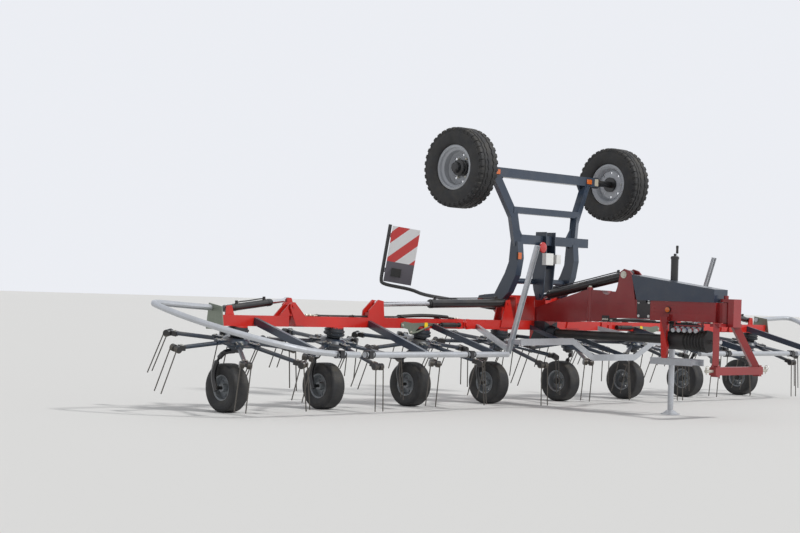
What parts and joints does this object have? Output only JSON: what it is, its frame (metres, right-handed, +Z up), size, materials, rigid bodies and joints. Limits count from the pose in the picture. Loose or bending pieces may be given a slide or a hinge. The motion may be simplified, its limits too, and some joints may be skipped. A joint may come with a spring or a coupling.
{
  "type": "hay tedder",
  "caption": "Trailed folding hay tedder with tined rotors on small wheels and a transport chassis that swings over.",
  "frame": {"origin": "middle of the box on the ground, under the machine", "axes": "+X to the machine's right, +Y forward to the tractor, +Z up"},
  "size_m": [9.333, 3.6662, 2.6199],
  "materials": {
    "red_paint": "semi-gloss",
    "dark_red_paint": "semi-gloss, dusty",
    "slate_paint": "semi-gloss",
    "cover_sheet": "semi-gloss",
    "rotor_paint": "semi-gloss",
    "black_paint": "gloss",
    "silver_paint": "satin",
    "galvanised": "galvanised",
    "zinc": "zinc plated",
    "polished_rod": "polished",
    "black_plastic": "matt",
    "white_plastic": "matt",
    "board": "reflective",
    "tyre": "matt",
    "wheel_rubber": "matt"
  },
  "bodies": {
    "root": {"centre_frame": "red_paint", "drawbar": "dark_red_paint", "drawbar_cover": "cover_sheet", "pto_guard": "black_plastic", "front_guard": "galvanised", "jack_tube": "black_paint", "board_arm": "black_paint", "warning_board": "board"},
    "headstock": {"headstock": "dark_red_paint"},
    "jack_leg": {"jack_leg": "zinc"},
    "chassis": {"chassis_frame": "slate_paint", "document_boxes": "white_plastic"},
    "transport_wheel_r": {"transport_tyre_r": "tyre", "transport_rim_r": "silver_paint"},
    "transport_wheel_l": {"transport_tyre_l": "tyre", "transport_rim_l": "silver_paint"},
    "wing_r": {"wing_r": "red_paint", "wing_guard_r": "galvanised"},
    "tip_r": {"tip_r": "red_paint", "tip_guard_r": "galvanised"},
    "wing_l": {"wing_l": "red_paint", "wing_guard_l": "galvanised"},
    "tip_l": {"tip_l": "red_paint", "tip_guard_l": "galvanised"},
    "rotor_1": {"rotor_1": "rotor_paint"},
    "wheel_1": {"wheel_1": "wheel_rubber"},
    "rotor_2": {"rotor_2": "rotor_paint"},
    "wheel_2": {"wheel_2": "wheel_rubber"},
    "rotor_3": {"rotor_3": "rotor_paint"},
    "wheel_3": {"wheel_3": "wheel_rubber"},
    "rotor_4": {"rotor_4": "rotor_paint"},
    "wheel_4": {"wheel_4": "wheel_rubber"},
    "rotor_5": {"rotor_5": "rotor_paint"},
    "wheel_5": {"wheel_5": "wheel_rubber"},
    "rotor_6": {"rotor_6": "rotor_paint"},
    "wheel_6": {"wheel_6": "wheel_rubber"},
    "rotor_7": {"rotor_7": "rotor_paint"},
    "wheel_7": {"wheel_7": "wheel_rubber"},
    "rotor_8": {"rotor_8": "rotor_paint"},
    "wheel_8": {"wheel_8": "wheel_rubber"},
    "chassis_barrel": {"chassis_barrel": "black_paint"},
    "chassis_rod": {"chassis_rod": "polished_rod"},
    "wing_barrel_r": {"wing_barrel_r": "black_paint"},
    "wing_rod_r": {"wing_rod_r": "polished_rod"},
    "tip_barrel_r": {"tip_barrel_r": "black_paint"},
    "tip_rod_r": {"tip_rod_r": "polished_rod"},
    "wing_barrel_l": {"wing_barrel_l": "black_paint"},
    "wing_rod_l": {"wing_rod_l": "polished_rod"},
    "tip_barrel_l": {"tip_barrel_l": "black_paint"},
    "tip_rod_l": {"tip_rod_l": "polished_rod"}
  },
  "joints": [
    {"name": "chassis_swing", "type": "hinge", "parent": "root", "child": "chassis", "pos_m": [0, -0.88126, 1], "axis": [1, 0, 0], "range_deg": [0, 150]},
    {"name": "chassis_cylinder_tilt", "type": "hinge", "parent": "root", "child": "chassis_barrel", "pos_m": [0, 0.57474, 1.285], "axis": [1, 0, 0], "range_deg": [-8.04, 0]},
    {"name": "chassis_cylinder_slide", "type": "slide", "parent": "chassis_barrel", "child": "chassis_rod", "axis": [0, -0.9776, -0.2103], "range_m": [0, 0.776]},
    {"name": "wing_fold_r", "type": "hinge", "parent": "root", "child": "wing_r", "pos_m": [1.08, -0.54126, 0.77], "axis": [0, -1, 0], "range_deg": [0, 78]},
    {"name": "tip_fold_r", "type": "hinge", "parent": "wing_r", "child": "tip_r", "pos_m": [3.24, -0.54126, 0.9], "axis": [0, -1, 0], "range_deg": [0, 168]},
    {"name": "wing_cylinder_r_tilt", "type": "hinge", "parent": "root", "child": "wing_barrel_r", "pos_m": [0.5, -0.54126, 0.98], "axis": [0, -1, 0], "range_deg": [0, 56.21]},
    {"name": "wing_cylinder_r_slide", "type": "slide", "parent": "wing_barrel_r", "child": "wing_rod_r", "axis": [0.9996, 0, -0.0265], "range_m": [-0.574, 0]},
    {"name": "tip_cylinder_r_tilt", "type": "hinge", "parent": "tip_r", "child": "tip_barrel_r", "pos_m": [3.85, -0.63526, 0.865], "axis": [0, -1, 0], "range_deg": [0, 7.71]},
    {"name": "tip_cylinder_r_slide", "type": "slide", "parent": "tip_barrel_r", "child": "tip_rod_r", "axis": [-0.9918, 0, 0.1277], "range_m": [-0.115, 0]},
    {"name": "wing_fold_l", "type": "hinge", "parent": "root", "child": "wing_l", "pos_m": [-1.08, -0.54126, 0.77], "axis": [0, 1, 0], "range_deg": [0, 78]},
    {"name": "tip_fold_l", "type": "hinge", "parent": "wing_l", "child": "tip_l", "pos_m": [-3.24, -0.54126, 0.9], "axis": [0, 1, 0], "range_deg": [0, 168]},
    {"name": "wing_cylinder_l_tilt", "type": "hinge", "parent": "root", "child": "wing_barrel_l", "pos_m": [-0.5, -0.54126, 0.98], "axis": [0, 1, 0], "range_deg": [0, 56.21]},
    {"name": "wing_cylinder_l_slide", "type": "slide", "parent": "wing_barrel_l", "child": "wing_rod_l", "axis": [-0.9996, 0, -0.0265], "range_m": [-0.574, 0]},
    {"name": "tip_cylinder_l_tilt", "type": "hinge", "parent": "tip_l", "child": "tip_barrel_l", "pos_m": [-3.85, -0.63526, 0.865], "axis": [0, 1, 0], "range_deg": [0, 7.71]},
    {"name": "tip_cylinder_l_slide", "type": "slide", "parent": "tip_barrel_l", "child": "tip_rod_l", "axis": [0.9918, 0, 0.1277], "range_m": [-0.115, 0]},
    {"name": "rotor_1_spin", "type": "hinge", "parent": "tip_r", "child": "rotor_1", "pos_m": [3.78, -0.57126, 0.6], "axis": [0, 0.2079, 0.9781], "continuous": true},
    {"name": "wheel_1_spin", "type": "hinge", "parent": "tip_r", "child": "wheel_1", "pos_m": [3.78, -0.67126, 0.205], "axis": [1, 0, 0], "continuous": true},
    {"name": "rotor_2_spin", "type": "hinge", "parent": "wing_r", "child": "rotor_2", "pos_m": [2.7, -0.57126, 0.6], "axis": [0, 0.2079, 0.9781], "continuous": true},
    {"name": "wheel_2_spin", "type": "hinge", "parent": "wing_r", "child": "wheel_2", "pos_m": [2.7, -0.67126, 0.205], "axis": [1, 0, 0], "continuous": true},
    {"name": "rotor_3_spin", "type": "hinge", "parent": "wing_r", "child": "rotor_3", "pos_m": [1.62, -0.57126, 0.6], "axis": [0, 0.2079, 0.9781], "continuous": true},
    {"name": "wheel_3_spin", "type": "hinge", "parent": "wing_r", "child": "wheel_3", "pos_m": [1.62, -0.67126, 0.205], "axis": [1, 0, 0], "continuous": true},
    {"name": "rotor_4_spin", "type": "hinge", "parent": "root", "child": "rotor_4", "pos_m": [0.54, -0.57126, 0.6], "axis": [0, 0.2079, 0.9781], "continuous": true},
    {"name": "wheel_4_spin", "type": "hinge", "parent": "root", "child": "wheel_4", "pos_m": [0.54, -0.67126, 0.205], "axis": [1, 0, 0], "continuous": true},
    {"name": "rotor_5_spin", "type": "hinge", "parent": "root", "child": "rotor_5", "pos_m": [-0.54, -0.57126, 0.6], "axis": [0, 0.2079, 0.9781], "continuous": true},
    {"name": "wheel_5_spin", "type": "hinge", "parent": "root", "child": "wheel_5", "pos_m": [-0.54, -0.67126, 0.205], "axis": [1, 0, 0], "continuous": true},
    {"name": "rotor_6_spin", "type": "hinge", "parent": "wing_l", "child": "rotor_6", "pos_m": [-1.62, -0.57126, 0.6], "axis": [0, 0.2079, 0.9781], "continuous": true},
    {"name": "wheel_6_spin", "type": "hinge", "parent": "wing_l", "child": "wheel_6", "pos_m": [-1.62, -0.67126, 0.205], "axis": [1, 0, 0], "continuous": true},
    {"name": "rotor_7_spin", "type": "hinge", "parent": "wing_l", "child": "rotor_7", "pos_m": [-2.7, -0.57126, 0.6], "axis": [0, 0.2079, 0.9781], "continuous": true},
    {"name": "wheel_7_spin", "type": "hinge", "parent": "wing_l", "child": "wheel_7", "pos_m": [-2.7, -0.67126, 0.205], "axis": [1, 0, 0], "continuous": true},
    {"name": "rotor_8_spin", "type": "hinge", "parent": "tip_l", "child": "rotor_8", "pos_m": [-3.78, -0.57126, 0.6], "axis": [0, 0.2079, 0.9781], "continuous": true},
    {"name": "wheel_8_spin", "type": "hinge", "parent": "tip_l", "child": "wheel_8", "pos_m": [-3.78, -0.67126, 0.205], "axis": [1, 0, 0], "continuous": true},
    {"name": "transport_wheel_r_spin", "type": "hinge", "parent": "chassis", "child": "transport_wheel_r", "pos_m": [1.16, -0.55126, 2.24], "axis": [1, 0, 0], "continuous": true},
    {"name": "transport_wheel_l_spin", "type": "hinge", "parent": "chassis", "child": "transport_wheel_l", "pos_m": [-1.16, -0.55126, 2.24], "axis": [1, 0, 0], "continuous": true},
    {"name": "hitch_yaw", "type": "hinge", "parent": "root", "child": "headstock", "pos_m": [0, 1.66874, 0.95], "axis": [0, 0, 1], "range_deg": [-50, 50]},
    {"name": "jack_lift", "type": "slide", "parent": "root", "child": "jack_leg", "axis": [0, 0, 1], "range_m": [0, 0.38]}
  ],
  "couplings": [
    {"joint": "chassis_cylinder_tilt", "follows": "chassis_swing", "ratio": -0.053599},
    {"joint": "chassis_cylinder_slide", "follows": "chassis_swing", "m_per_rad": 0.29636},
    {"joint": "wing_fold_r", "follows": "chassis_swing", "ratio": 0.52},
    {"joint": "tip_fold_r", "follows": "chassis_swing", "ratio": 1.12},
    {"joint": "wing_cylinder_r_tilt", "follows": "chassis_swing", "ratio": 0.37472},
    {"joint": "wing_cylinder_r_slide", "follows": "chassis_swing", "m_per_rad": -0.21903},
    {"joint": "tip_cylinder_r_tilt", "follows": "chassis_swing", "ratio": 0.05136},
    {"joint": "tip_cylinder_r_slide", "follows": "chassis_swing", "m_per_rad": -0.043828},
    {"joint": "wing_fold_l", "follows": "chassis_swing", "ratio": 0.52},
    {"joint": "tip_fold_l", "follows": "chassis_swing", "ratio": 1.12},
    {"joint": "wing_cylinder_l_tilt", "follows": "chassis_swing", "ratio": 0.37472},
    {"joint": "wing_cylinder_l_slide", "follows": "chassis_swing", "m_per_rad": -0.21903},
    {"joint": "tip_cylinder_l_tilt", "follows": "chassis_swing", "ratio": 0.05136},
    {"joint": "tip_cylinder_l_slide", "follows": "chassis_swing", "m_per_rad": -0.043828},
    {"joint": "rotor_2_spin", "follows": "rotor_1_spin", "ratio": -1},
    {"joint": "rotor_3_spin", "follows": "rotor_1_spin", "ratio": 1},
    {"joint": "rotor_4_spin", "follows": "rotor_1_spin", "ratio": -1},
    {"joint": "rotor_5_spin", "follows": "rotor_1_spin", "ratio": 1},
    {"joint": "rotor_6_spin", "follows": "rotor_1_spin", "ratio": -1},
    {"joint": "rotor_7_spin", "follows": "rotor_1_spin", "ratio": 1},
    {"joint": "rotor_8_spin", "follows": "rotor_1_spin", "ratio": -1}
  ]
}
